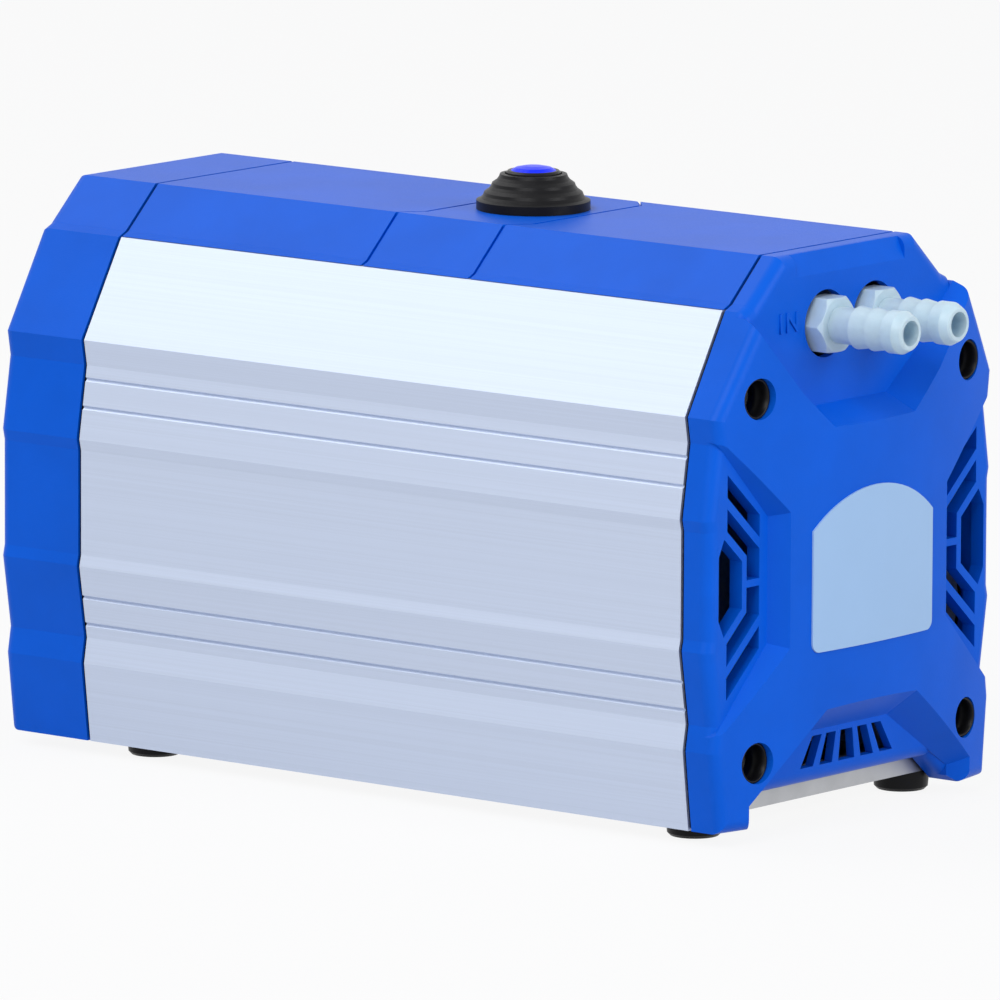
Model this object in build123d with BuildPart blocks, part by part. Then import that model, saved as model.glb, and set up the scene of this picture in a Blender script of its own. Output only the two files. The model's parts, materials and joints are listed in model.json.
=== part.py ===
"""Diaphragm vacuum pump in a bench-top housing: a laminated motor drives one diaphragm head.

Frame: millimetres, +X towards the hose nozzles, +Z up, origin at the middle of the footprint of the
whole pump, on the surface that the rubber feet stand on.
"""

import os
from math import atan2, cos, degrees, hypot, radians, sin

from build123d import *

# ---- housing: driving dimensions -------------------------------------------------------------------
rear_cover_depth = 27.5
shell_span = 203.5
front_cover_depth = 16.0
nozzle_reach = 18.5
body_half_width = 60.5
foot_height = 3.5
top_height = 149.8
joint_gap = 1.0
shell_wall = 2.0
cover_wall = 2.5
edge_round = 3.4
face_bow_r = 260.0
seat_gap = 0.15

overall_length = rear_cover_depth + shell_span + front_cover_depth + nozzle_reach
tip_x = overall_length / 2
back_x = -overall_length / 2
rear_joint_x = back_x + rear_cover_depth
front_joint_x = rear_joint_x + shell_span
shell_back_x = rear_joint_x + joint_gap
shell_front_x = front_joint_x - joint_gap
shell_length = shell_front_x - shell_back_x

# Section of the housing seen along X: half widths, and heights above and below the belt centre.
belt_centre = (foot_height + top_height) / 2 - 8.65
top_half = body_half_width - 32.3
ledge_y, ledge_z = body_half_width - 20.0, top_height - 11.4
shell_top_y, shell_top_z = body_half_width - 17.1, top_height - 12.7
shoulder_y, shoulder_up = body_half_width - 1.9, 43.3
waist_y, waist_up = body_half_width - 3.1, 36.5
belt_y, belt_up = body_half_width, 17.0
panel_y, panel_up = body_half_width - 0.7, 14.0
bottom_y = body_half_width - 4.5
groove_ups = (32.8, 25.4)
groove_size = 0.9
arch_foot_y = body_half_width - 15.5
arch_crown_y, arch_crown_z = arch_foot_y - 9.0, foot_height + 7.6

# ---- end covers ------------------------------------------------------------------------------------
port_face_depth = 7.0
vent_face_depth = 8.5
wall_draft = 28.0
screw_y = body_half_width - 16.3
screw_zs = (foot_height + 17.5, top_height - 34.3)
screw_access_r = 5.4
screw_shank_r, screw_head_r, screw_head_height, screw_length = 2.0, 3.6, 2.4, 14.0
screw_floor = 3.0
screw_clearance = 0.25
channel_r = 4.6
port_y, port_z, port_hole_r = 10.2, top_height - 19.0, 8.85
vent_centre = belt_centre - 0.7
vent_inner, vent_outer = body_half_width - 21.2, body_half_width - 7.7
vent_waist = vent_inner - 3.3
vent_slope, vent_pitch, vent_top, vent_rise, vent_rib = 0.88, 8.8, 17.4, 5.9, 1.9

# ---- top cover and switch --------------------------------------------------------------------------
panel_seam_xs = (-22.9, 13.0)
seam_jog, seam_jog_y, seam_width, seam_depth = 5.0, 22.5, 1.0, 0.8
switch_x = 0.5
boot_r, boot_height, boot_tier = 15.0, 9.4, 1.3
button_r, button_height = 7.2, 10.2
lens_r, lens_height = 5.9, 1.2
barrel_r = 8.0
switch_nut_size, switch_nut_height = 22.0, 3.0

# ---- feet and base ---------------------------------------------------------------------------------
foot_y, foot_r, foot_pin_r = body_half_width - 16.6, 7.5, 2.5
foot_xs = (rear_joint_x + 13.25, front_joint_x - 8.45)
base_wall = 2.4
lip_width = 4.0

# ---- motor -----------------------------------------------------------------------------------------
crank_x = front_joint_x - 42.25
case_back_x, case_front_x = crank_x - 28.0, crank_x + 28.0
shaft_z, shaft_r = belt_centre - 6.0, 4.0
stator_half, stator_back_x, stator_stack = 35.0, case_back_x - 56.0, 40.0
stator_bore_r, air_gap = 21.0, 0.5
coil_reach, coil_thickness = 9.0, 8.0
bearing_r, bearing_width = 11.0, 7.0
running_gap = 0.03
bolt_r, bolt_at = 2.0, 29.0
fan_back_x, fan_width, fan_r, fan_hub_r, fan_blades = stator_back_x - 52.0, 16.0, 37.0, 10.0, 9

# ---- pump ------------------------------------------------------------------------------------------
throw = 1.5
case_half, case_wall = 32.0, 4.0
eccentric_r, eccentric_width = 8.0, 9.0
rod_bearing_r, rod_eye_r, rod_width = 14.0, 18.0, 9.0
head_half = 28.0
rim_z, diaphragm_thickness = top_height - 41.8, 1.6
chamber_r = 20.0
disc_r, disc_thickness = 15.0, 2.2
head_plate_height, head_cover_height = 9.0, 17.0
valve_r, valve_thickness, valve_lift = 5.5, 0.6, 0.7
nozzle_r, nozzle_neck_r, nozzle_bore_r = 5.65, 4.6, 3.3
nozzle_collar_r, nozzle_collar_reach = 8.0, 4.4
nozzle_land = 3.4

os.makedirs("parts", exist_ok=True)


def keep(shape, name):
    """Label a finished piece and write it under its own name."""
    shape.label = name
    export_step(shape, f"parts/{name}.step")


def section_points():
    """Right half of the housing section as (y, z), from the top corner to the bottom corner."""
    flank = [(shoulder_y, shoulder_up), (waist_y, waist_up), (belt_y, belt_up), (panel_y, panel_up)]
    above = [(y, belt_centre + up) for y, up in flank]
    below = [(y, belt_centre - up) for y, up in reversed(flank)]
    top = [(top_half, top_height), (ledge_y, ledge_z), (shell_top_y, shell_top_z)]
    return top + above + below + [(bottom_y, foot_height)]


def flank_y(z):
    """Half width of the housing section at a height."""
    points = section_points()
    for (y0, z0), (y1, z1) in zip(points, points[1:]):
        if z1 <= z <= z0:
            return y0 + (y1 - y0) * (z0 - z) / (z0 - z1)
    return bottom_y


def across(x):
    """A sketch plane across the housing, local x along +Y, local y along +Z, facing +X."""
    return Plane(origin=(x, 0, 0), x_dir=(0, 1, 0), z_dir=(1, 0, 0))


def outline_face(arched=False, inset=0.0):
    """The whole section as a face; an arched one is cut away between the feet."""
    right = section_points()
    if arched:
        right += [(arch_foot_y, foot_height), (arch_crown_y, arch_crown_z)]
    left = [(-y, z) for y, z in reversed(right)]
    with BuildSketch() as sketch:
        with BuildLine():
            Polyline(*right, *left, close=True)
        make_face()
        if inset:
            offset(amount=-inset, kind=Kind.INTERSECTION, mode=Mode.REPLACE)
    return sketch.sketch


def polygon_face(points):
    """A face bounded by straight edges."""
    with BuildSketch() as sketch:
        with BuildLine():
            Polyline(*points, close=True)
        make_face()
    return sketch.sketch


def mirrored(points):
    """The same outline on the other side of the pump."""
    return [(-y, z) for y, z in points]


screw_places = [(y, z) for y in (-screw_y, screw_y) for z in screw_zs]


# ---- housing shells --------------------------------------------------------------------------------
def wall_strip(side):
    """Region that belongs to one side panel, from its top edge down to the base lip."""
    inner = [(shell_top_y - 7.0, top_height), (shell_top_y - 7.0, shell_top_z - 4.0)]
    lower = [(bottom_y - lip_width, belt_centre), (bottom_y - lip_width, 0)]
    outer = [(2 * body_half_width, 0), (2 * body_half_width, top_height)]
    points = inner + lower + outer
    return polygon_face(points if side > 0 else mirrored(points))


def panel_section(side):
    """Wall, flange and channels of one side panel as a single face."""
    with BuildSketch() as section:
        add(outline_face())
        add(outline_face(inset=shell_wall), mode=Mode.SUBTRACT)
        add(wall_strip(side), mode=Mode.INTERSECT)
        with Locations((side * (shell_top_y - 3.5), shell_top_z - shell_wall / 2)):
            Rectangle(7.0, shell_wall)
        with Locations((0, shell_top_z + top_height)):
            Rectangle(4 * top_height, 2 * top_height, mode=Mode.SUBTRACT)
        for z in screw_zs:
            reach = flank_y(z) - shell_wall / 2
            with Locations((side * screw_y, z)):
                Circle(channel_r)
            with Locations((side * (screw_y + reach) / 2, z)):
                Rectangle(reach - screw_y, shell_wall)
            with Locations((side * screw_y, z)):
                Circle(screw_shank_r + screw_clearance, mode=Mode.SUBTRACT)
        for up in groove_ups:
            for z in (belt_centre + up, belt_centre - up):
                with Locations((side * flank_y(z), z)):
                    Rectangle(groove_size, groove_size, rotation=45, mode=Mode.SUBTRACT)
    return section.sketch


with BuildPart() as left_side_panel:
    with BuildSketch(across(shell_back_x)):
        add(panel_section(-1))
    extrude(amount=shell_length)
keep(left_side_panel.part, "left_side_panel")

with BuildPart() as right_side_panel:
    with BuildSketch(across(shell_back_x)):
        add(panel_section(1))
    extrude(amount=shell_length)
keep(right_side_panel.part, "right_side_panel")

base_top_z = foot_height + shell_wall + base_wall
base_bottom_z = foot_height + shell_wall
base_half = flank_y(base_top_z) - shell_wall - 0.4
flange_top_z = arch_crown_z + cover_wall
with BuildPart() as base_plate:
    with BuildSketch(Plane.XY.offset(base_bottom_z)):
        with Locations(((shell_back_x + shell_front_x) / 2, 0)):
            Rectangle(shell_length, 2 * base_half)
        for x in (shell_back_x + 30.0, shell_front_x - 30.0):
            with Locations((x, 0)):
                with GridLocations(7.0, 0, 6, 1):
                    SlotOverall(44.0, 3.5, rotation=90, mode=Mode.SUBTRACT)
        with Locations(*[(x, y) for x in foot_xs for y in (-foot_y, foot_y)]):
            Circle(foot_pin_r + seat_gap, mode=Mode.SUBTRACT)
    extrude(amount=base_wall)
    for x in (shell_back_x + base_wall / 2, shell_front_x - base_wall / 2):
        with Locations((x, 0, base_bottom_z)):
            flange_height = flange_top_z - base_bottom_z
            Box(base_wall, 2 * arch_foot_y, flange_height, align=(Align.CENTER, Align.CENTER, Align.MIN))
keep(base_plate.part, "base_plate")

with BuildPart() as top_cover:
    with BuildSketch(across(shell_back_x)):
        add(outline_face())
        add(outline_face(inset=cover_wall), mode=Mode.SUBTRACT)
        with Locations((0, shell_top_z + seat_gap + top_height / 2)):
            Rectangle(4 * top_height, top_height, mode=Mode.INTERSECT)
    extrude(amount=shell_length)
    for seam_x in panel_seam_xs:
        with BuildSketch(across(seam_x)):
            add(outline_face())
            add(outline_face(inset=seam_depth), mode=Mode.SUBTRACT)
            Rectangle(2 * top_half, 4 * top_height, mode=Mode.SUBTRACT)
        extrude(amount=seam_width, mode=Mode.SUBTRACT)
        jog_x = seam_x + seam_jog
        near = [(seam_x, -top_half), (jog_x, -seam_jog_y), (jog_x, seam_jog_y), (seam_x, top_half)]
        far = [(x + seam_width, y) for x, y in reversed(near)]
        with BuildSketch(Plane.XY.offset(top_height - seam_depth)):
            add(polygon_face(near + far))
        extrude(amount=2 * seam_depth, mode=Mode.SUBTRACT)
    with Locations((switch_x, 0, top_height)):
        Cylinder(barrel_r + seat_gap, 4 * cover_wall, mode=Mode.SUBTRACT)
keep(top_cover.part, "top_cover")


def gasket(x):
    """Flat rubber ring between a cover and the shells, set back from the outside."""
    with BuildPart() as ring:
        with BuildSketch(across(x)):
            add(outline_face(arched=True, inset=0.8))
            add(outline_face(arched=True, inset=shell_wall + 0.4), mode=Mode.SUBTRACT)
        extrude(amount=joint_gap)
    return ring.part


keep(gasket(shell_front_x), "front_gasket")
keep(gasket(rear_joint_x), "rear_gasket")


# ---- end covers ------------------------------------------------------------------------------------
def rim_block(depth, bowed=False, facing=1, joint=front_joint_x):
    """The arched section pushed out from a joint, its outer rim rounded over."""
    with BuildPart() as block:
        with BuildSketch(across(joint)):
            add(outline_face(arched=True))
        extrude(amount=facing * depth)
        if bowed:
            with Locations((joint + depth - face_bow_r, 0, belt_centre)):
                Cylinder(face_bow_r, 2 * top_height, mode=Mode.INTERSECT)
        end = block.faces().sort_by(Axis.X)[-1 if facing > 0 else 0]
        fillet(end.edges(), edge_round)
    return block.part


def region(points, floor_depth, draft=wall_draft):
    """A region cut straight to a floor, its walls leaning outwards above the floor."""
    with BuildPart() as prism:
        with BuildSketch(across(front_joint_x - 1.0)):
            add(polygon_face(points))
        extrude(amount=floor_depth + 1.0)
        with BuildSketch(across(front_joint_x + floor_depth)):
            add(polygon_face(points))
        extrude(amount=front_cover_depth - floor_depth + 1.0, taper=-draft)
    return prism.part


far = 90.0
port_floor_z = port_z - 20.8
port_flank_y, port_flank_z = ledge_y + 3.0, port_z + 4.7
port_rise_z = port_floor_z + 8.5
port_half = [(far, 2 * top_height), (far, port_flank_z + 24.5), (port_flank_y, port_flank_z),
             (26.5, port_rise_z), (15.5, port_floor_z)]
port_region = port_half + [(-y, z) for y, z in reversed(port_half)]
vent_reach = far - vent_waist
vent_region = [
    (far, vent_centre + vent_top - 0.9 + vent_reach), (vent_waist, vent_centre + vent_top - 0.9),
    (vent_waist, vent_centre - vent_top + 0.9), (far, vent_centre - vent_top + 0.9 - vent_reach),
]
grille_top_z, grille_top_y, grille_flare_y = foot_height + 21.5, 17.0, arch_foot_y - 2.0
slot_top_z, slot_foot_z, lean = grille_top_z - 1.5, grille_top_z - 9.5, 0.35
grille_region = [
    (-grille_top_y, grille_top_z), (grille_top_y, grille_top_z), (grille_flare_y, foot_height + 4.5),
    (grille_flare_y, -20.0), (-grille_flare_y, -20.0), (-grille_flare_y, foot_height + 4.5),
]


def vent_openings(side):
    """Bent vent slots on one side of the cover: two per half, round one central opening."""
    def rise(row, y):
        return vent_top - row * vent_pitch + vent_slope * (y - vent_inner)
    foot_y_in = vent_inner + 5.3
    shapes = []
    for sign in (-1, 1):
        first = [(vent_inner, rise(0, vent_inner)), (vent_outer, rise(0, vent_outer)),
                 (vent_outer, rise(0, vent_outer) - vent_rise), (vent_inner, rise(0, vent_inner) - vent_rise)]
        second = [(vent_inner, rise(1, vent_inner)), (vent_outer, rise(1, vent_outer)),
                  (vent_outer, rise(1, vent_outer) - vent_rise), (foot_y_in, rise(1, foot_y_in) - vent_rise),
                  (foot_y_in, vent_rib / 2), (vent_inner, vent_rib / 2)]
        for outline in (first, second):
            shapes.append([(y, vent_centre + sign * up) for y, up in outline])
    core_in = foot_y_in + vent_rib
    upper = [(core_in, rise(2, core_in)), (vent_outer + 1.2, rise(2, vent_outer + 1.2)),
             (vent_outer + 3.4, rise(2, vent_outer) - 3.4)]
    lower = [(y, -up) for y, up in reversed(upper)]
    shapes.append([(y, vent_centre + up) for y, up in upper + lower])
    if side < 0:
        shapes = [mirrored(outline) for outline in shapes]
    return shapes


def screw_ways(joint, facing, face_depth):
    """Stepped holes of the four cover screws, to be cut away from a cover."""
    with BuildPart() as ways:
        with BuildSketch(across(joint + facing * screw_floor)):
            with Locations(*screw_places):
                Circle(screw_access_r)
        extrude(amount=facing * face_depth)
        with BuildSketch(across(joint - facing * 1.5)):
            with Locations(*screw_places):
                Circle(screw_shank_r + screw_clearance)
        extrude(amount=facing * (screw_floor + 2.0))
    return ways.part


def screw_tubes(joint, facing, depth):
    """Tubes round the screw ways; they stand on the channel ends and carry the screw heads."""
    with BuildPart() as tubes:
        with BuildSketch(across(joint - facing * (joint_gap - 0.1))):
            with Locations(*screw_places):
                Circle(channel_r)
        extrude(amount=facing * (joint_gap - 0.1 + screw_floor))
        with BuildSketch(across(joint)):
            with Locations(*screw_places):
                Circle(screw_access_r + 1.6)
        extrude(amount=facing * depth)
    return tubes.part


with BuildPart() as front_cover:
    port_cut = region(port_region, port_face_depth)
    grille_cut = region(grille_region, port_face_depth, 40.0)
    add(rim_block(port_face_depth))
    add(rim_block(vent_face_depth) - port_cut - grille_cut)
    face_block = rim_block(front_cover_depth, bowed=True) - port_cut - grille_cut
    for outline in (vent_region, mirrored(vent_region)):
        face_block = face_block - region(outline, vent_face_depth)
    add(face_block)
    bevel_foot_z, bevel_end = top_height - 5.8, 2 * front_cover_depth
    above_z = top_height + 10.0
    bevel = [(port_face_depth, bevel_foot_z), (4.5, top_height), (4.5, above_z), (bevel_end, above_z),
             (bevel_end, bevel_foot_z)]
    with BuildSketch(Plane(origin=(front_joint_x, 0, 0), x_dir=(1, 0, 0), z_dir=(0, -1, 0))):
        add(polygon_face(bevel))
    extrude(amount=23.0, both=True, mode=Mode.SUBTRACT)
    # Hollow behind the face, one level behind each of its planes.
    with BuildSketch(across(front_joint_x)):
        add(outline_face(arched=True, inset=cover_wall))
    extrude(amount=port_face_depth - cover_wall, mode=Mode.SUBTRACT)
    with BuildSketch(across(front_joint_x)):
        with Locations((0, vent_centre)):
            Rectangle(2 * (vent_waist - 6.0), 2 * belt_centre - 70.0)
    extrude(amount=front_cover_depth - cover_wall - 3.0, mode=Mode.SUBTRACT)
    add(screw_tubes(front_joint_x, 1, port_face_depth))
    with BuildSketch(across(front_joint_x - 1.0)):
        for side in (-1, 1):
            for outline in vent_openings(side):
                add(polygon_face(outline))
        with Locations((-port_y, port_z), (port_y, port_z)):
            Circle(port_hole_r)
        for side in (-1, 1):
            for inner, outer in ((4.5, 8.5), (10.5, 14.5)):
                add(polygon_face([(side * inner, slot_top_z), (side * outer, slot_top_z),
                                  (side * (1 + lean) * outer, slot_foot_z), (side * (1 + lean) * inner, slot_foot_z)]))
        add(polygon_face([(-2.5, slot_top_z), (2.5, slot_top_z), (3.4, slot_foot_z), (-3.4, slot_foot_z)]))
    extrude(amount=front_cover_depth + 2.0, mode=Mode.SUBTRACT)
    add(screw_ways(front_joint_x, 1, front_cover_depth + 2.0), mode=Mode.SUBTRACT)
keep(front_cover.part, "front_cover")

# The rear cover is a deep tub with a fan grille, four screw ways and the mains inlet opening.
inlet_y, inlet_z = 0.0, foot_height + 26.5
inlet_half_y, inlet_half_z = 13.8, 10.0
grille_z = shaft_z + 22.0
with BuildPart() as rear_cover:
    add(rim_block(rear_cover_depth, facing=-1, joint=rear_joint_x))
    with BuildSketch(across(rear_joint_x)):
        add(outline_face(arched=True, inset=cover_wall))
    extrude(amount=cover_wall - rear_cover_depth, mode=Mode.SUBTRACT)
    add(screw_tubes(rear_joint_x, -1, rear_cover_depth - 1.0))
    add(screw_ways(rear_joint_x, -1, rear_cover_depth + 2.0), mode=Mode.SUBTRACT)
    with BuildSketch(across(back_x - 1.0)):
        with Locations((inlet_y, inlet_z)):
            Rectangle(2 * inlet_half_y + 0.4, 2 * inlet_half_z + 0.4)
        for row in range(-4, 5):
            half_chord = (34.0 ** 2 - (row * 7.0) ** 2) ** 0.5
            with Locations((0, grille_z + row * 7.0)):
                with GridLocations(half_chord, 0, 2, 1):
                    SlotOverall(half_chord - 4.0, 3.6)
    extrude(amount=cover_wall + 2.0, mode=Mode.SUBTRACT)
keep(rear_cover.part, "rear_cover")


def cover_screws(joint, facing):
    """Four cap screws that pull a cover onto the channels of the side panels."""
    seat = joint + facing * screw_floor
    with BuildPart() as screws:
        with BuildSketch(across(seat)):
            with Locations(*screw_places):
                Circle(screw_head_r)
        extrude(amount=facing * screw_head_height)
        with BuildSketch(across(seat)):
            with Locations(*screw_places):
                Circle(screw_shank_r)
        extrude(amount=-facing * screw_length)
        with BuildSketch(across(seat + facing * screw_head_height)):
            with Locations(*screw_places):
                RegularPolygon(1.7, 6)
        extrude(amount=-facing * 1.4, mode=Mode.SUBTRACT)
    return screws.part


keep(cover_screws(front_joint_x, 1), "front_cover_screws")
keep(cover_screws(rear_joint_x, -1), "rear_cover_screws")


def rubber_foot(x, y):
    """Turned rubber foot whose neck snaps through the base plate."""
    neck = base_top_z + seat_gap
    profile = [(0, 0), (foot_r - 1.2, 0), (foot_r - 0.4, 0.8), (foot_r, base_bottom_z - 0.05),
               (foot_pin_r, base_bottom_z - 0.05), (foot_pin_r, neck), (foot_pin_r + 1.5, neck),
               (foot_pin_r, neck + 2.4), (0, neck + 2.4)]
    with BuildPart() as foot:
        with BuildSketch(Plane.XZ):
            add(polygon_face(profile))
        revolve(axis=Axis.Z)
    return foot.part.moved(Location((x, y, 0)))


for end, x in (("rear", foot_xs[0]), ("front", foot_xs[1])):
    keep(rubber_foot(x, -foot_y), f"foot_{end}_left")
    keep(rubber_foot(x, foot_y), f"foot_{end}_right")


def turned(profile, x, y, z, axis="z"):
    """A body of revolution from (radius, height) points, standing on Z or lying along X."""
    with BuildPart() as body:
        with BuildSketch(Plane.XZ):
            add(polygon_face(profile))
        revolve(axis=Axis.Z)
    spin = Location((x, y, z)) if axis == "z" else Location((x, y, z), (0, 90, 0))
    return body.part.moved(spin)


def ring(outer, inner, start, length):
    """Profile of a plain ring."""
    return [(inner, start), (outer, start), (outer, start + length), (inner, start + length)]


# ---- switch ----------------------------------------------------------------------------------------
boot_bore = button_r + 0.35
boot_profile = [(boot_bore, 0.05), (boot_r, 0.05), (boot_r, 2.4)]
tier_step = (boot_r - button_r - 1.6) / 3
for tier in range(1, 4):
    base_z = 2.4 * tier
    radius = boot_r - tier * tier_step
    boot_profile += [(radius + 0.9, base_z + 0.5), (radius + 0.3, base_z + boot_tier), (radius, base_z + 2.1)]
boot_profile += [(boot_bore, boot_height)]
keep(turned(boot_profile, switch_x, 0, top_height), "switch_boot")

cap_profile = [(0, -4.0), (button_r, -4.0), (button_r, button_height - 0.5), (button_r - 0.5, button_height),
               (lens_r + 0.05, button_height), (lens_r + 0.05, button_height - 1.5),
               (0, button_height - 1.5)]
keep(turned(cap_profile, switch_x, 0, top_height), "switch_cap")
lens_base = button_height - 1.5
lens_profile = [(0, lens_base), (lens_r, lens_base), (lens_r, button_height), (lens_r * 0.8, button_height + 0.7),
                (lens_r * 0.45, button_height + lens_height - 0.1), (0, button_height + lens_height)]
keep(turned(lens_profile, switch_x, 0, top_height), "switch_lens")

barrel_top = -6.3
barrel_profile = [(0, barrel_top - 20.0), (barrel_r, barrel_top - 20.0), (barrel_r, -0.1),
                  (button_r + 0.3, -0.1), (button_r + 0.3, barrel_top), (0, barrel_top)]
with BuildPart() as switch_body:
    add(turned(barrel_profile, switch_x, 0, top_height))
    with BuildSketch(Plane.XY.offset(top_height - cover_wall - 0.1)):
        with Locations((switch_x, 0)):
            RegularPolygon(switch_nut_size / 2, 6)
    extrude(amount=-switch_nut_height)
    with BuildSketch(Plane.XY.offset(top_height - 10.0)):
        with Locations((switch_x, 0)):
            Circle(button_r + 0.3)
    extrude(amount=12.0, mode=Mode.SUBTRACT)
    with Locations((switch_x, 0, top_height + barrel_top - 20.0)):
        with GridLocations(8.0, 5.0, 2, 2):
            Box(0.8, 3.2, 6.0, align=(Align.CENTER, Align.CENTER, Align.MAX))
keep(switch_body.part, "switch_body")

# ---- mains inlet -----------------------------------------------------------------------------------
socket_y, socket_z, socket_depth, pin_recess = 12.0, 8.2, 15.0, 6.5
with BuildPart() as mains_inlet:
    with BuildSketch(across(back_x + 0.05)):
        with Locations((inlet_y, inlet_z)):
            Rectangle(2 * inlet_half_y, 2 * inlet_half_z)
    extrude(amount=20.0)
    with BuildSketch(across(back_x + cover_wall + 0.1)):
        with Locations((inlet_y, inlet_z)):
            Rectangle(2 * inlet_half_y + 5.0, 2 * inlet_half_z + 3.0)
    extrude(amount=2.0)
    chamfered = [(-socket_y, -socket_z), (socket_y, -socket_z), (socket_y, socket_z - 4.0),
                 (socket_y - 4.0, socket_z), (4.0 - socket_y, socket_z), (-socket_y, socket_z - 4.0)]
    with BuildSketch(across(back_x)):
        add(polygon_face([(y, z + inlet_z) for y, z in chamfered]))
    extrude(amount=socket_depth, mode=Mode.SUBTRACT)
keep(mains_inlet.part, "mains_inlet")

with BuildPart() as mains_inlet_pins:
    with BuildSketch(across(back_x + pin_recess)):
        with Locations((inlet_y - 7.0, inlet_z - 2.0), (inlet_y + 7.0, inlet_z - 2.0), (inlet_y, inlet_z + 2.0)):
            Rectangle(2.0, 4.0)
    extrude(amount=socket_depth - pin_recess)
keep(mains_inlet_pins.part, "mains_inlet_pins")

# ---- motor -----------------------------------------------------------------------------------------
stator_front_x = stator_back_x + stator_stack
bolt_places = [(y, shaft_z + up) for y in (-bolt_at, bolt_at) for up in (-bolt_at, bolt_at)]
with BuildPart() as motor_stator:
    with BuildSketch(across(stator_back_x)):
        with Locations((0, shaft_z)):
            RectangleRounded(2 * stator_half, 2 * stator_half, 6.0)
            Circle(stator_bore_r, mode=Mode.SUBTRACT)
        with Locations(*bolt_places):
            Circle(bolt_r + seat_gap, mode=Mode.SUBTRACT)
    extrude(amount=stator_stack)
keep(motor_stator.part, "motor_stator")

with BuildPart() as motor_coils:
    for x, way in ((stator_back_x - 0.05, -1), (stator_front_x + 0.05, 1)):
        with BuildSketch(across(x)):
            with Locations((0, shaft_z)):
                Circle(stator_bore_r + coil_thickness - 3.0)
                Circle(stator_bore_r + 0.3, mode=Mode.SUBTRACT)
        extrude(amount=way * coil_reach)
    outer_rims = motor_coils.faces().filter_by(Axis.X).sort_by(Axis.X)
    fillet([edge for face in (outer_rims[0], outer_rims[-1]) for edge in face.edges()], 2.0)
keep(motor_coils.part, "motor_coils")

bracket_x = stator_back_x - coil_reach - 10.0
bracket_thickness = 4.0
with BuildPart() as rear_bracket:
    with BuildSketch(across(bracket_x)):
        with Locations((0, shaft_z)):
            RectangleRounded(2 * stator_half, 2 * stator_half, 6.0)
    extrude(amount=bracket_thickness)
    with BuildSketch(across(bracket_x)):
        with Locations((0, shaft_z)):
            Circle(bearing_r + 3.0)
    extrude(amount=bearing_width + 1.0)
    with BuildSketch(across(bracket_x)):
        with Locations(*bolt_places):
            Circle(4.0)
    extrude(amount=stator_back_x - bracket_x)
    with BuildSketch(across(bracket_x - 1.0)):
        with Locations((0, shaft_z)):
            Circle(bearing_r)
    extrude(amount=bearing_width + 1.0, mode=Mode.SUBTRACT)
    with BuildSketch(across(bracket_x - 1.0)):
        with Locations((0, shaft_z)):
            Circle(bearing_r - 2.0)
            with PolarLocations(22.0, 4, start_angle=0):
                Circle(6.0)
        with Locations(*bolt_places):
            Circle(bolt_r + seat_gap)
    extrude(amount=80.0, mode=Mode.SUBTRACT)
keep(rear_bracket.part, "rear_bracket")

bearing_profile = ring(bearing_r - 0.02, shaft_r + running_gap, 0, bearing_width)
keep(turned(bearing_profile, bracket_x - 0.05, 0, shaft_z, "x"), "rear_bearing")
keep(turned(bearing_profile, case_back_x - 0.05, 0, shaft_z, "x"), "front_bearing")

with BuildPart() as motor_shaft:
    with BuildSketch(across(fan_back_x - 2.0)):
        with Locations((0, shaft_z)):
            Circle(shaft_r)
    extrude(amount=crank_x + eccentric_width / 2 - fan_back_x + 2.0)
keep(motor_shaft.part, "motor_shaft")

rotor_r = stator_bore_r - air_gap
keep(turned(ring(rotor_r, shaft_r, 0, stator_stack), stator_back_x, 0, shaft_z, "x"), "rotor_core")

with BuildPart() as fan_wheel:
    with BuildSketch(across(fan_back_x)):
        with Locations((0, shaft_z)):
            Circle(fan_hub_r)
    extrude(amount=fan_width)
    with BuildSketch(across(fan_back_x + fan_width - 2.0)):
        with Locations((0, shaft_z)):
            Circle(fan_r)
    extrude(amount=2.0)
    with BuildSketch(across(fan_back_x)):
        with Locations((0, shaft_z)):
            with PolarLocations((fan_hub_r + fan_r) / 2, fan_blades):
                Rectangle(fan_r - fan_hub_r + 1.0, 1.6)
    extrude(amount=fan_width)
    with BuildSketch(across(fan_back_x - 1.0)):
        with Locations((0, shaft_z)):
            Circle(shaft_r)
    extrude(amount=fan_width + 2.0, mode=Mode.SUBTRACT)
keep(fan_wheel.part, "fan_wheel")

# ---- crank -----------------------------------------------------------------------------------------
rod_z = shaft_z - throw
crank_back_x = crank_x - eccentric_width / 2
with BuildPart() as eccentric:
    with BuildSketch(across(crank_back_x)):
        with Locations((0, rod_z)):
            Circle(eccentric_r)
    extrude(amount=eccentric_width)
    with BuildSketch(across(crank_back_x - 5.0)):
        with Locations((0, shaft_z)):
            Circle(16.0)
            with Locations((0, -8.0)):
                Rectangle(40.0, 16.0, mode=Mode.SUBTRACT)
            Circle(7.5)
    extrude(amount=4.5)
    with BuildSketch(across(crank_back_x - 5.0)):
        with Locations((0, shaft_z)):
            Circle(shaft_r + 2.3)
    extrude(amount=6.0)
    with BuildSketch(across(crank_back_x - 6.0)):
        with Locations((0, shaft_z)):
            Circle(shaft_r)
    extrude(amount=eccentric_width + 8.0, mode=Mode.SUBTRACT)
keep(eccentric.part, "eccentric")

rod_start_x = crank_x - rod_width / 2
crank_ring = ring(rod_bearing_r - 0.01, eccentric_r + running_gap, 0, rod_width)
keep(turned(crank_ring, rod_start_x, 0, rod_z, "x"), "eccentric_bearing")

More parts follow.
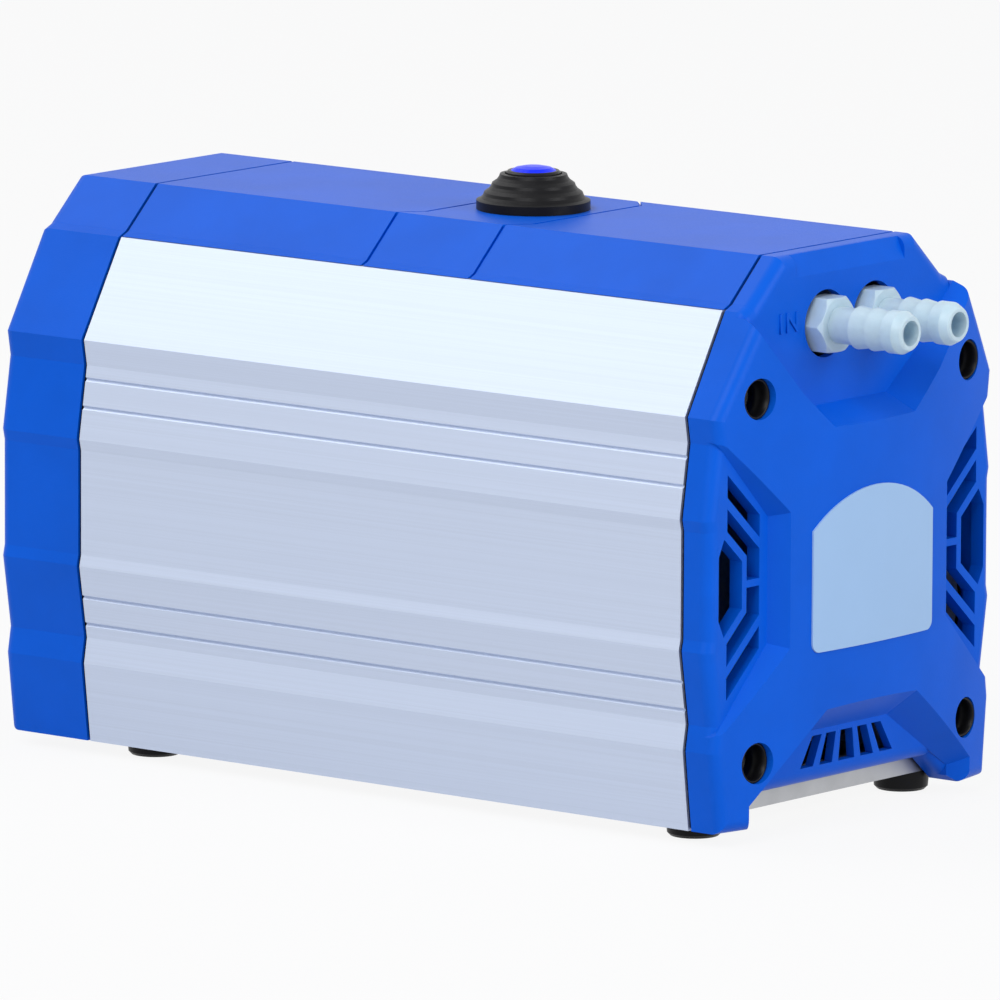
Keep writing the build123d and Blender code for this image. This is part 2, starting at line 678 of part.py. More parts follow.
disc_bottom_z = rim_z - 3.0 - disc_thickness
with BuildPart() as connecting_rod:
    with BuildSketch(across(rod_start_x)):
        with Locations((0, rod_z)):
            Circle(rod_eye_r)
        neck_height = disc_bottom_z - rod_z
        with Locations((0, rod_z + neck_height / 2)):
            Rectangle(9.0, neck_height)
        with Locations((0, rod_z)):
            Circle(rod_bearing_r, mode=Mode.SUBTRACT)
    extrude(amount=rod_width)
    with BuildSketch(Plane.XY.offset(disc_bottom_z - 4.0)):
        with Locations((crank_x, 0)):
            Circle(7.0)
    extrude(amount=4.0 - 0.05)
keep(connecting_rod.part, "connecting_rod")

# ---- crankcase and head ----------------------------------------------------------------------------
case_bottom_z = 26.0
case_middle_x = (case_back_x + case_front_x) / 2
case_size = case_front_x - case_back_x
with BuildPart() as crankcase:
    with Locations((case_middle_x, 0, case_bottom_z)):
        Box(case_size, 2 * case_half, rim_z - case_bottom_z - 0.05, align=(Align.CENTER, Align.CENTER, Align.MIN))
    fillet(crankcase.edges().filter_by(Axis.Z), 5.0)
    inside_z = case_bottom_z + case_wall
    with Locations((case_middle_x, 0, inside_z)):
        Box(case_size - 2 * bearing_width - 2.0, 2 * (case_half - case_wall), rim_z - 8.0 - inside_z,
            align=(Align.CENTER, Align.CENTER, Align.MIN), mode=Mode.SUBTRACT)
    with Locations((crank_x, 0, rim_z)):
        Cylinder(chamber_r, 60.0, mode=Mode.SUBTRACT)
    with BuildSketch(across(case_back_x - 1.0)):
        with Locations((0, shaft_z)):
            Circle(bearing_r)
    extrude(amount=bearing_width + 1.0, mode=Mode.SUBTRACT)
    with BuildSketch(across(case_back_x - 1.0)):
        with Locations((0, shaft_z)):
            Circle(bearing_r - 2.0)
    extrude(amount=20.0, mode=Mode.SUBTRACT)
keep(crankcase.part, "crankcase")

with BuildPart() as motor_bolts:
    with BuildSketch(across(bracket_x - 0.05)):
        with Locations(*bolt_places):
            Circle(bolt_r)
    extrude(amount=case_back_x - bracket_x)
    with BuildSketch(across(bracket_x - 0.05)):
        with Locations(*bolt_places):
            RegularPolygon(3.6, 6)
    extrude(amount=-2.8)
keep(motor_bolts.part, "motor_bolts")

with BuildPart() as motor_spacers:
    with BuildSketch(across(stator_front_x + 0.05)):
        with Locations(*bolt_places):
            Circle(4.0)
            Circle(bolt_r + seat_gap, mode=Mode.SUBTRACT)
    extrude(amount=case_back_x - stator_front_x - 0.1)
keep(motor_spacers.part, "motor_spacers")

head_places = [(crank_x + dx * 22.0, dy * 22.0) for dx in (-1, 1) for dy in (-1, 1)]
bellow = [(disc_r - 4.0, rim_z - 3.0), (disc_r + 1.0, rim_z - 3.0), (disc_r + 3.2, rim_z - 1.4),
          (disc_r + 4.4, rim_z), (head_half - 1.0, rim_z), (head_half - 1.0, rim_z + diaphragm_thickness),
          (disc_r + 3.6, rim_z + diaphragm_thickness), (disc_r + 2.2, rim_z),
          (disc_r + 0.6, rim_z - 3.0 + diaphragm_thickness), (disc_r - 4.0, rim_z - 3.0 + diaphragm_thickness)]
with BuildPart() as diaphragm:
    add(turned([(r - (disc_r - 4.0) + 4.2 if r < disc_r else r, z) for r, z in bellow], crank_x, 0, 0))
    with BuildSketch(Plane.XY.offset(rim_z - 1.0)):
        with Locations(*head_places):
            Circle(2.4)
    extrude(amount=4.0, mode=Mode.SUBTRACT)
keep(diaphragm.part, "diaphragm")

disc_hub_r = 4.0
keep(turned([(0, disc_bottom_z), (disc_r - 1.0, disc_bottom_z), (disc_r, rim_z - 3.05), (0, rim_z - 3.05)],
            crank_x, 0, 0), "support_disc")
disc_top_z = rim_z - 3.0 + diaphragm_thickness + 0.05
keep(turned([(0, rim_z - 2.95), (disc_hub_r, rim_z - 2.95), (disc_hub_r, disc_top_z), (disc_r - 0.6, disc_top_z),
             (disc_r - 1.4, disc_top_z + 1.2), (0, disc_top_z + 1.8)], crank_x, 0, 0), "clamp_disc")

plate_z = rim_z + diaphragm_thickness + 0.05
cover_z = plate_z + head_plate_height + 0.05
head_top_z = cover_z + head_cover_height
valve_places = {"inlet": -port_y, "outlet": port_y}
seat_depth = valve_thickness + valve_lift + 0.2
with BuildPart() as head_plate:
    with Locations((crank_x, 0, plate_z)):
        Box(2 * head_half, 2 * head_half, head_plate_height, align=(Align.CENTER, Align.CENTER, Align.MIN))
    fillet(head_plate.edges().filter_by(Axis.Z), 5.0)
    with Locations((crank_x, 0, plate_z)):
        Cylinder(chamber_r, 2 * 3.4, mode=Mode.SUBTRACT)
    with Locations(*[(crank_x, y, plate_z) for y in valve_places.values()]):
        Cylinder(2.6, 60.0, mode=Mode.SUBTRACT)
    with Locations((crank_x, valve_places["outlet"], plate_z + head_plate_height)):
        Cylinder(valve_r + 0.5, 2 * seat_depth, mode=Mode.SUBTRACT)
    with Locations((crank_x, valve_places["inlet"], plate_z + 3.4)):
        Cylinder(valve_r + 0.5, 2 * seat_depth, mode=Mode.SUBTRACT)
    with BuildSketch(Plane.XY.offset(plate_z - 1.0)):
        with Locations(*head_places):
            Circle(2.2)
    extrude(amount=head_plate_height + 2.0, mode=Mode.SUBTRACT)
keep(head_plate.part, "head_plate")

inlet_valve_z = plate_z + 3.4 + seat_depth - valve_thickness - 0.05
outlet_valve_z = plate_z + head_plate_height - seat_depth + 0.05
keep(turned(ring(valve_r, 0, 0, valve_thickness), crank_x, -port_y, inlet_valve_z), "inlet_valve")
keep(turned(ring(valve_r, 0, 0, valve_thickness), crank_x, port_y, outlet_valve_z), "outlet_valve")

head_front_x = crank_x + head_half + 4.0
thread_r, thread_depth = 4.6, 10.0
with BuildPart() as head_cover:
    with Locations((crank_x + 2.0, 0, cover_z)):
        Box(2 * head_half + 4.0, 2 * head_half, head_cover_height, align=(Align.CENTER, Align.CENTER, Align.MIN))
    fillet(head_cover.edges().filter_by(Axis.Z), 5.0)
    chamfer(head_cover.faces().sort_by(Axis.Z)[-1].edges(), 1.5)
    with GridLocations(9.0, 0, 5, 1):
        with Locations((crank_x - 2.0, 0, head_top_z)):
            Box(3.0, 2 * head_half, 6.0, mode=Mode.SUBTRACT)
    with BuildSketch(across(head_front_x + 1.0)):
        with Locations((-port_y, port_z), (port_y, port_z)):
            Circle(thread_r + 0.02)
    extrude(amount=-thread_depth - 1.0, mode=Mode.SUBTRACT)
    with BuildSketch(across(head_front_x - thread_depth + 1.0)):
        with Locations((-port_y, port_z), (port_y, port_z)):
            Circle(2.8)
    extrude(amount=crank_x - head_front_x + thread_depth - 4.0, mode=Mode.SUBTRACT)
    with BuildSketch(Plane.XY.offset(cover_z - 1.0)):
        with Locations((crank_x, -port_y), (crank_x, port_y)):
            Circle(2.6)
    extrude(amount=port_z - cover_z + 1.0, mode=Mode.SUBTRACT)
    with BuildSketch(Plane.XY.offset(cover_z - 1.0)):
        with Locations(*head_places):
            Circle(2.2)
    extrude(amount=head_cover_height + 2.0, mode=Mode.SUBTRACT)
    with BuildSketch(Plane.XY.offset(head_top_z - 4.0)):
        with Locations(*head_places):
            Circle(4.0)
    extrude(amount=6.0, mode=Mode.SUBTRACT)
keep(head_cover.part, "head_cover")

with BuildPart() as head_screws:
    with BuildSketch(Plane.XY.offset(rim_z + 0.2)):
        with Locations(*head_places):
            Circle(2.0)
    extrude(amount=head_top_z - 4.0 - rim_z)
    with BuildSketch(Plane.XY.offset(head_top_z - 3.95)):
        with Locations(*head_places):
            Circle(3.5)
            RegularPolygon(1.7, 6, mode=Mode.SUBTRACT)
    extrude(amount=3.4)
keep(head_screws.part, "head_screws")

# ---- hose nozzles ----------------------------------------------------------------------------------
port_face_x = front_joint_x + port_face_depth
collar_start = port_face_x - 3.0
collar_end = port_face_x + nozzle_collar_reach


def hose_nozzle(side):
    """Barbed hose nozzle screwed into the head; three saw-tooth barbs and a level land behind them."""
    thread_start = head_front_x - thread_depth + 0.5
    profile = [(nozzle_bore_r, thread_start - tip_x), (thread_r, thread_start - tip_x),
               (thread_r, head_front_x - tip_x), (6.4, head_front_x + 0.1 - tip_x),
               (6.4, collar_start - tip_x), (nozzle_collar_r, collar_start - tip_x),
               (nozzle_collar_r, collar_end - tip_x - 1.0), (nozzle_collar_r - 1.0, collar_end - tip_x),
               (nozzle_neck_r + 0.2, collar_end - tip_x)]
    crest = -nozzle_land - 2.4
    profile += [(nozzle_neck_r + 0.2, crest - 2 * 5.2 - 0.6), (nozzle_r, crest - 2 * 5.2)]
    for barb in (1, 0):
        start = crest - 5.2 * barb
        profile += [(nozzle_neck_r + 0.3, start - 0.6), (nozzle_r, start)]
    profile += [(nozzle_r, crest + nozzle_land), (nozzle_neck_r, -0.4), (nozzle_neck_r - 0.4, 0),
                (nozzle_bore_r, 0)]
    with BuildPart() as nozzle:
        add(turned(profile, tip_x, side * port_y, port_z, "x"))
        with BuildSketch(across(collar_start)):
            with Locations((side * port_y, port_z)):
                Circle(nozzle_collar_r + 4.0)
                RegularPolygon(nozzle_collar_r + 0.1, 6, mode=Mode.SUBTRACT)
        extrude(amount=collar_end - collar_start, mode=Mode.SUBTRACT)
    return nozzle.part


keep(hose_nozzle(-1), "inlet_nozzle")
keep(hose_nozzle(1), "outlet_nozzle")

# ---- cradle under the motor and pump ---------------------------------------------------------------
cradle_bottom_z, cradle_back_x = 16.0, bracket_x
with BuildPart() as cradle:
    with BuildSketch(Plane.XY.offset(cradle_bottom_z)):
        with Locations(((cradle_back_x + case_front_x) / 2, 0)):
            Rectangle(case_front_x - cradle_back_x, 60.0)
            with GridLocations(40.0, 0, 3, 1):
                SlotOverall(30.0, 14.0, rotation=90, mode=Mode.SUBTRACT)
    extrude(amount=3.0)
    for x, top, length in ((case_middle_x, case_bottom_z, 36.0), (stator_back_x + stator_stack / 2,
                                                                   shaft_z - stator_half, 30.0)):
        with Locations((x, -22.0, cradle_bottom_z + 3.0), (x, 22.0, cradle_bottom_z + 3.0)):
            Box(length, 12.0, top - 0.05 - cradle_bottom_z - 3.0, align=(Align.CENTER, Align.CENTER, Align.MIN))
keep(cradle.part, "cradle")

damper_xs = (cradle_back_x + 9.0, case_front_x - 9.0)
with BuildPart() as dampers:
    for x in damper_xs:
        for y in (-22.0, 22.0):
            waist = [(0, 0), (6.5, 0), (6.5, 2.0), (4.8, 4.0), (6.5, 6.0), (6.5, 7.9), (0, 7.9)]
            add(turned(waist, x, y, base_top_z + 0.05))
keep(dampers.part, "rubber_dampers")
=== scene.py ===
"""Finishes and small dressing for the bench-top diaphragm vacuum pump, laid out as a Blender add-on."""

import json
import math

import bmesh
import bpy
from bpy.props import FloatProperty, FloatVectorProperty, PointerProperty
from bpy.types import Operator, Panel, PropertyGroup
from mathutils import Matrix, Vector


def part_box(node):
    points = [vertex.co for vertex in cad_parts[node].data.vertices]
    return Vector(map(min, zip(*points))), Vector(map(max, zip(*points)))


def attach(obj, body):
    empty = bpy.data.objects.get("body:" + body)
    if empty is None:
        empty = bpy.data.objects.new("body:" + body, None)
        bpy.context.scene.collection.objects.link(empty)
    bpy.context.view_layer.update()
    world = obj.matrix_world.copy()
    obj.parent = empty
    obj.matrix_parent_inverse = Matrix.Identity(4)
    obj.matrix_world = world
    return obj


bl_info = {
    "name": "Diaphragm Vacuum Pump",
    "version": (1, 0, 0),
    "blender": (4, 5, 0),
    "location": "View3D > Sidebar > Pump",
    "description": "Gives the pump its finishes, bare plate, port word, lights and camera",
    "category": "Object",
}

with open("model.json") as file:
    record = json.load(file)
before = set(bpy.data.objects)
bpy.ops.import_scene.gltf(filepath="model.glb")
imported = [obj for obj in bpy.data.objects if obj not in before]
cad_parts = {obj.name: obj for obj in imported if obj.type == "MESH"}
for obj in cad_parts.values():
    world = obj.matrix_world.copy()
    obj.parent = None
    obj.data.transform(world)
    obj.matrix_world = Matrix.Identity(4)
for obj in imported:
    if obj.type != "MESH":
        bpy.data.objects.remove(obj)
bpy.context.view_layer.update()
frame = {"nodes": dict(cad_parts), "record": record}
NODES = frame["nodes"]
JOINT_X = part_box("front_gasket")[1].x
REAR_JOINT_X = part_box("rear_gasket")[0].x
COVER_FOOT_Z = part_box("rear_cover")[0].z

# Lettering: font size for a capital of height 1, and the gap between letters against the font's own.
FONT_SIZE_PER_CAPITAL = 1.4
LETTER_SPACING = 1.25

# Floor: half its side, its drop below the feet in metres, and how much of it glows evenly.
FLOOR_HALF = 6.0
FLOOR_DROP = 0.0002
FLOOR_GLOW = 0.9

# Strength of the even light of the room on the pump.
ROOM_LIGHT = 0.42

# Lamps: name, place and side of the square in metres, power in watts. All face LAMP_AIM.
LAMP_AIM = Vector((0, 0, 0.07))
LAMPS = (
    ("key_lamp", (0.5, -1.8, 1.6), 1.4, 30),
    ("front_lamp", (2.2, 0.3, 0.9), 1.2, 26),
    ("upper_lamp", (-1.5, -0.4, 1.9), 1.8, 20),
)

# Camera: angles in degrees, lens and sensor in millimetres. The middle of the view lies VIEW_RIGHT and
# VIEW_UP metres from the foot of the rear cover's joint, and the camera VIEW_DISTANCE metres behind it.
VIEW_AZIMUTH, VIEW_ELEVATION, VIEW_ROLL = 38.80, 9.25, 0.27
LENS_LENGTH, SENSOR_WIDTH = 516.1, 36.0
VIEW_RIGHT, VIEW_UP, VIEW_DISTANCE = 0.0743, 0.05694, 3.8466


# ---- sizes and colours a user would change -------------------------------------------------------
def colour(name, description, default):
    return FloatVectorProperty(name=name, description=description, subtype="COLOR", size=3,
                               min=0.0, max=1.0, default=default)


def length(name, description, default):
    return FloatProperty(name=name, description=description, default=default, unit="LENGTH")


class PumpSizes(PropertyGroup):
    face_depth: length("Face depth", "How far the middle of the bowed face stands before the joint", 0.016)
    bow_radius: length("Bow radius", "Radius of the bowed front face", 0.260)
    plate_half_width: length("Plate half width", "Half the width of the bare plate", 0.0253)
    plate_low: length("Plate low edge", "Height of the plate's bottom edge", 0.0474)
    plate_shoulder: length("Plate shoulder", "Height where the plate's arched top begins", 0.0792)
    plate_high: length("Plate crown", "Height of the top of the plate's arch", 0.0887)
    plate_corner: length("Plate corner", "Radius of the plate's bottom corners", 0.0025)
    plate_thickness: length("Plate thickness", "Thickness of the plate", 0.0005)
    plate_sink: length("Plate sink", "How far the plate's back lies inside the face", 0.0002)
    screw_head_radius: length("Screw head radius", "Radius of the cover screws' heads", 0.0036)
    well_radius: length("Well radius", "Radius of the wells over the cover screws", 0.0054)
    # The black sleeves sized below are painted shade on the walls of the screw wells.
    shade_sleeve_wall: length("Liner wall", "Wall of the black sleeves in the wells", 0.0007)
    shade_sleeve_gap: length("Liner gap", "Gap between a sleeve and its well", 0.00006)
    shade_sleeve_recess: length("Liner recess", "How far the sleeves stop short of the face", 0.0012)
    shade_sleeve_overlap: length("Liner overlap", "How far the sleeves reach past the screw heads", 0.0022)
    word_height: length("Word height", "Height of the raised letters beside the inlet", 0.0052)
    word_relief: length("Word relief", "How far the raised letters stand out", 0.0004)
    word_bevel: length("Word bevel", "Rounding of the letters' edges", 0.0001)
    word_depth: length("Port face depth", "Depth of the port face before the joint", 0.007)
    word_y: length("Word place", "Middle of the word across the pump", -0.026)
    word_z: length("Word level", "Height of the foot of the word", 0.1302)


class PumpColours(PropertyGroup):
    cover: colour("Covers", "Moulded covers", (0.0, 0.094, 0.60))
    aluminium: colour("Side panels", "Extruded panels", (0.54, 0.61, 0.76))
    rubber: colour("Rubber", "Feet, boot and gaskets", (0.0025, 0.0025, 0.0035))
    black: colour("Black parts", "Button, fan and inlet", (0.004, 0.004, 0.005))
    lens: colour("Lens", "Lit lens of the button", (0.0, 0.012, 0.50))
    # The glow colour below is painted light: an emission that keeps the lens evenly blue.
    lens_painted_glow: colour("Lens glow", "Light from inside the lens", (0.0, 0.01, 0.62))
    nozzle: colour("Nozzles", "Natural nozzles", (0.56, 0.72, 0.82))
    plate: colour("Plate", "Bare plate on the front", (0.30, 0.47, 0.72))
    steel: colour("Steel", "Screws, shaft and bearings", (0.50, 0.51, 0.53))
    castings: colour("Castings", "Cast aluminium parts", (0.42, 0.43, 0.45))
    copper: colour("Windings", "Varnished copper", (0.50, 0.18, 0.06))
    pins: colour("Pins", "Plated pins of the inlet", (0.62, 0.45, 0.18))
    valves: colour("Valves", "Natural moulded valve discs", (0.75, 0.75, 0.72))
    head: colour("Head", "Glass-filled pump head", (0.04, 0.04, 0.045))


# ---- procedural finishes ---------------------------------------------------------------------------
def socketed(tree, kind, **values):
    """A new shader node with some of its inputs set."""
    node = tree.nodes.new(kind)
    for name, value in values.items():
        node.inputs[name.replace("_", " ")].default_value = value
    return node


def new_finish(name):
    """A fresh material with one principled shader; returns material, tree and shader."""
    material = bpy.data.materials.new(name)
    material.use_nodes = True
    tree = material.node_tree
    return material, tree, tree.nodes["Principled BSDF"]


def position(tree, scale):
    """Object coordinates stretched by a scale, in cycles per metre."""
    coordinate = tree.nodes.new("ShaderNodeTexCoord")
    mapping = socketed(tree, "ShaderNodeMapping", Scale=scale)
    tree.links.new(coordinate.outputs["Object"], mapping.inputs["Vector"])
    return mapping.outputs["Vector"]


def noise(tree, scale, detail=2.0, size=1.0):
    pattern = socketed(tree, "ShaderNodeTexNoise", Scale=size, Detail=detail, Roughness=0.6)
    tree.links.new(position(tree, scale), pattern.inputs["Vector"])
    return pattern.outputs["Fac"]


def shaded(tree, factor, dark, light, low=0.3, high=0.7):
    """A colour that drifts between two tones."""
    ramp = tree.nodes.new("ShaderNodeValToRGB")
    ramp.color_ramp.elements[0].position = low
    ramp.color_ramp.elements[1].position = high
    ramp.color_ramp.elements[0].color = (*dark, 1.0)
    ramp.color_ramp.elements[1].color = (*light, 1.0)
    tree.links.new(factor, ramp.inputs["Fac"])
    return ramp.outputs["Color"]


def spread(tree, factor, low, high):
    """The noise value mapped to a range of roughness."""
    span = socketed(tree, "ShaderNodeMapRange")
    span.inputs["To Min"].default_value = low
    span.inputs["To Max"].default_value = high
    tree.links.new(factor, span.inputs["Value"])
    return span.outputs["Result"]


def relief(tree, shader, height, distance, strength):
    bump = socketed(tree, "ShaderNodeBump", Strength=strength, Distance=distance)
    tree.links.new(height, bump.inputs["Height"])
    tree.links.new(bump.outputs["Normal"], shader.inputs["Normal"])


def tone(base, amount):
    return tuple(min(1.0, channel * amount) for channel in base)


def grained_plastic(name, base, rough=(0.36, 0.46), grain=0.00006, drift=0.06, gloss=0.5):
    """Moulded plastic with a fine spark-eroded grain and a faint drift in tone."""
    material, tree, shader = new_finish(name)
    fine = noise(tree, (2600, 2600, 2600), 2.0)
    wide = noise(tree, (35, 35, 35), 3.0)
    tint = shaded(tree, wide, tone(base, 1 - drift), tone(base, 1 + drift))
    tree.links.new(tint, shader.inputs["Base Color"])
    tree.links.new(spread(tree, fine, *rough), shader.inputs["Roughness"])
    shader.inputs["Specular IOR Level"].default_value = gloss
    relief(tree, shader, fine, grain, 0.5)
    return material


def drawn_aluminium(name, base):
    """Bead-blasted and anodised extrusion with faint die lines along its length."""
    material, tree, shader = new_finish(name)
    lines = noise(tree, (3, 1700, 1700), 3.0)
    beads = noise(tree, (3800, 3800, 3800), 1.0)
    tint = shaded(tree, lines, tone(base, 0.965), tone(base, 1.03))
    tree.links.new(tint, shader.inputs["Base Color"])
    shader.inputs["Metallic"].default_value = 0.5
    tree.links.new(spread(tree, beads, 0.34, 0.46), shader.inputs["Roughness"])
    relief(tree, shader, lines, 0.00003, 0.3)
    return material


def metal(name, base, rough=(0.25, 0.4), scale=(900, 900, 900), depth=0.00003):
    """Turned, plated or cast metal."""
    material, tree, shader = new_finish(name)
    fine = noise(tree, scale, 3.0)
    tint = shaded(tree, fine, tone(base, 0.88), tone(base, 1.08))
    tree.links.new(tint, shader.inputs["Base Color"])
    shader.inputs["Metallic"].default_value = 1.0
    tree.links.new(spread(tree, fine, *rough), shader.inputs["Roughness"])
    relief(tree, shader, fine, depth, 0.5)
    return material


def natural_nozzle(name, base):
    """Translucent moulded fluoropolymer that glows a little where light passes through."""
    material, tree, shader = new_finish(name)
    cloud = noise(tree, (160, 160, 160), 3.0)
    fine = noise(tree, (1800, 1800, 1800), 2.0)
    tint = shaded(tree, cloud, tone(base, 0.93), tone(base, 1.06))
    tree.links.new(tint, shader.inputs["Base Color"])
    shader.inputs["Subsurface Weight"].default_value = 0.35
    shader.inputs["Subsurface Radius"].default_value = (1.0, 1.1, 1.2)
    shader.inputs["Subsurface Scale"].default_value = 0.004
    shader.inputs["Transmission Weight"].default_value = 0.18
    shader.inputs["IOR"].default_value = 1.38
    tree.links.new(spread(tree, fine, 0.26, 0.36), shader.inputs["Roughness"])
    relief(tree, shader, fine, 0.00004, 0.4)
    return material


def painted_glow_lens(name, base, glow):
    """Deep blue lens with a painted glow: an emission that keeps the lens evenly blue."""
    material, tree, shader = new_finish(name)
    cloud = noise(tree, (300, 300, 300), 2.0)
    tint = shaded(tree, cloud, tone(base, 0.85), tone(base, 1.1))
    tree.links.new(tint, shader.inputs["Base Color"])
    shader.inputs["Roughness"].default_value = 0.3
    shader.inputs["Specular IOR Level"].default_value = 0.15
    # Painted glow: emission in the lens colour keeps the lens evenly blue, with no lamp behind it.
    shader.inputs["Emission Color"].default_value = (*glow, 1.0)
    shader.inputs["Emission Strength"].default_value = 1.0
    return material


def make_finishes():
    c = bpy.context.scene.pump_colours
    return {
        "blue_cover": grained_plastic("moulded_cover", c.cover, gloss=0.12),
        "aluminium_shell": drawn_aluminium("satin_extrusion", c.aluminium),
        "black_rubber": grained_plastic("soft_rubber", c.rubber, rough=(0.32, 0.46), grain=0.00008,
                                        gloss=0.15),
        "black_plastic": grained_plastic("black_moulding", c.black, rough=(0.28, 0.42), grain=0.00004,
                                         gloss=0.2),
        "blue_lens": painted_glow_lens("painted_glow_lens", c.lens, c.lens_painted_glow),
        "clear_nozzle": natural_nozzle("natural_nozzle", c.nozzle),
        "zinc_screws": metal("zinc_plate", c.steel),
        "steel_plate": metal("galvanised_sheet", tone(c.steel, 0.9), rough=(0.35, 0.5),
                             scale=(60, 60, 60)),
        "motor_steel": metal("laminations", tone(c.steel, 0.5), rough=(0.4, 0.55),
                             scale=(2400, 20, 20), depth=0.0001),
        "copper_coils": metal("varnished_windings", c.copper, rough=(0.3, 0.45),
                              scale=(1500, 300, 300), depth=0.0002),
        "cast_aluminium": metal("cast_metal", c.castings, rough=(0.45, 0.6),
                                scale=(700, 700, 700), depth=0.0001),
        "bearing_steel": metal("ground_steel", c.steel, rough=(0.15, 0.25)),
        "brass_pins": metal("plated_pins", c.pins),
        "valve_plastic": grained_plastic("natural_moulding", c.valves),
        "head_plastic": grained_plastic("glass_filled_moulding", c.head, rough=(0.5, 0.65),
                                        grain=0.00012),
    }


# ---- helpers for dressing pieces -------------------------------------------------------------------
def face_x(y):
    """Where the bowed front face lies at a distance from the middle."""
    sizes = bpy.context.scene.pump_sizes
    return JOINT_X + sizes.face_depth - y * y / (2 * sizes.bow_radius)


def add_object(name, mesh, material, body):
    piece = bpy.data.objects.new(name, mesh)
    bpy.context.scene.collection.objects.link(piece)
    mesh.materials.append(material)
    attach(piece, body)
    return piece


def quarter_arc(y, z, radius, start, steps):
    """Points of a quarter turn about (y, z), anticlockwise from a start angle in degrees."""
    angles = [math.radians(start + 90 * k / steps) for k in range(steps + 1)]
    return [(y + radius * math.cos(angle), z + radius * math.sin(angle)) for angle in angles]


def arched_outline(half, low, shoulder, high, corner, steps=10):
    """Points of the bare plate: round bottom corners and a shallow arch on top, seen from the front."""
    rise = high - shoulder
    radius = (half * half + rise * rise) / (2 * rise)
    sweep = math.asin(half / radius)
    arch = []
    for k in range(2 * steps + 1):
        angle = sweep - 2 * sweep * k / (2 * steps)
        arch.append((radius * math.sin(angle), high - radius + radius * math.cos(angle)))
    right_corner = quarter_arc(half - corner, low + corner, corner, -90, steps)
    left_corner = quarter_arc(corner - half, low + corner, corner, 180, steps)
    return right_corner + arch + left_corner


def plate_mesh(name, outline, thickness, sink, rows=20, reach=0.03):
    """A thin plate on the bowed face, cut into strips up to a reach each way so that it follows the bow."""
    mesh = bpy.data.meshes.new(name)
    form = bmesh.new()
    ring = [form.verts.new((0.0, y, z)) for y, z in outline]
    form.faces.new(ring)
    for k in range(1, rows):
        y = -reach + 2 * reach * k / rows
        cut = form.verts[:] + form.edges[:] + form.faces[:]
        bmesh.ops.bisect_plane(form, geom=cut, plane_co=(0, y, 0), plane_no=(0, 1, 0))
    if form.faces[:][0].normal.x < 0:
        bmesh.ops.reverse_faces(form, faces=form.faces[:])
    lifted = bmesh.ops.extrude_face_region(form, geom=form.faces[:])
    top = {item for item in lifted["geom"] if isinstance(item, bmesh.types.BMVert)}
    for vert in form.verts:
        vert.co.x = face_x(vert.co.y) + (thickness if vert in top else -sink)
    bmesh.ops.recalc_face_normals(form, faces=form.faces[:])
    form.to_mesh(mesh)
    form.free()
    return mesh


# ---- operators -------------------------------------------------------------------------------------
class PUMP_OT_finish_cad(Operator):
    """Give every solid of the pump its procedural finish"""

    bl_idname = "pump.finish_cad"
    bl_label = "Finish the solids"

    def execute(self, context):
        finishes = make_finishes()
        slots = {entry["node"]: entry["material_slot"] for entry in frame["record"]["subparts"]}
        for name, node in NODES.items():
            node.data.materials.clear()
            node.data.materials.append(finishes[slots[name]])
        return {"FINISHED"}


class PUMP_OT_bare_plate(Operator):
    """Lay the bare pale plate on the bowed front face"""

    bl_idname = "pump.bare_plate"
    bl_label = "Bare plate"

    def execute(self, context):
        s = context.scene.pump_sizes
        outline = arched_outline(s.plate_half_width, s.plate_low, s.plate_shoulder, s.plate_high,
                                 s.plate_corner)
        pale = grained_plastic("pale_plate", context.scene.pump_colours.plate, rough=(0.3, 0.4),
                               grain=0.00001, drift=0.015)
        mesh = plate_mesh("bare_plate", outline, s.plate_thickness, s.plate_sink)
        add_object("bare_plate", mesh, pale, "housing")
        return {"FINISHED"}


class PUMP_OT_port_word(Operator):
    """Raise the small word IN on the port face beside the inlet nozzle"""

    bl_idname = "pump.port_word"
    bl_label = "Port word"

    def execute(self, context):
        s = context.scene.pump_sizes
        text = bpy.data.curves.new("port_word_curve", "FONT")
        text.body = "IN"
        text.size = s.word_height * FONT_SIZE_PER_CAPITAL
        text.align_x = "CENTER"
        text.extrude = s.word_relief
        text.bevel_depth = s.word_bevel
        text.space_character = LETTER_SPACING
        source = bpy.data.objects.new("port_word_curve", text)
        context.scene.collection.objects.link(source)
        mesh = bpy.data.meshes.new_from_object(source.evaluated_get(context.evaluated_depsgraph_get()))
        bpy.data.objects.remove(source)
        # The letters are drawn flat in XY; here they stand upright on the port face and read along Y.
        mesh.transform(Matrix(((0, 0, 1, JOINT_X + s.word_depth), (1, 0, 0, s.word_y),
                               (0, 1, 0, s.word_z), (0, 0, 0, 1))))
        mesh.materials.clear()
        add_object("port_word", mesh, bpy.data.materials["moulded_cover"], "housing")
        return {"FINISHED"}


class PUMP_OT_painted_well_shade(Operator):
    """Line the screw wells of the front cover with thin black sleeves, painted shade down the walls of the
    deep wells
    """

    bl_idname = "pump.well_liners"
    bl_label = "Well liners"

    def execute(self, context):
        s = context.scene.pump_sizes
        black = bpy.data.materials["black_moulding"]
        low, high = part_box("front_cover_screws")
        places = [(side * (high.y - s.screw_head_radius), z) for side in (-1, 1)
                  for z in (low.z + s.screw_head_radius, high.z - s.screw_head_radius)]
        mouth, floor = face_x(places[0][0]) - s.shade_sleeve_recess, high.x - s.shade_sleeve_overlap
        outer = s.well_radius - s.shade_sleeve_gap
        # Painted shade: black sleeves that darken the walls of the screw wells.
        mesh = sleeve_mesh("front_painted_well_shade", places, mouth, floor, outer, s.shade_sleeve_wall)
        add_object("front_painted_well_shade", mesh, black, "housing")
        return {"FINISHED"}


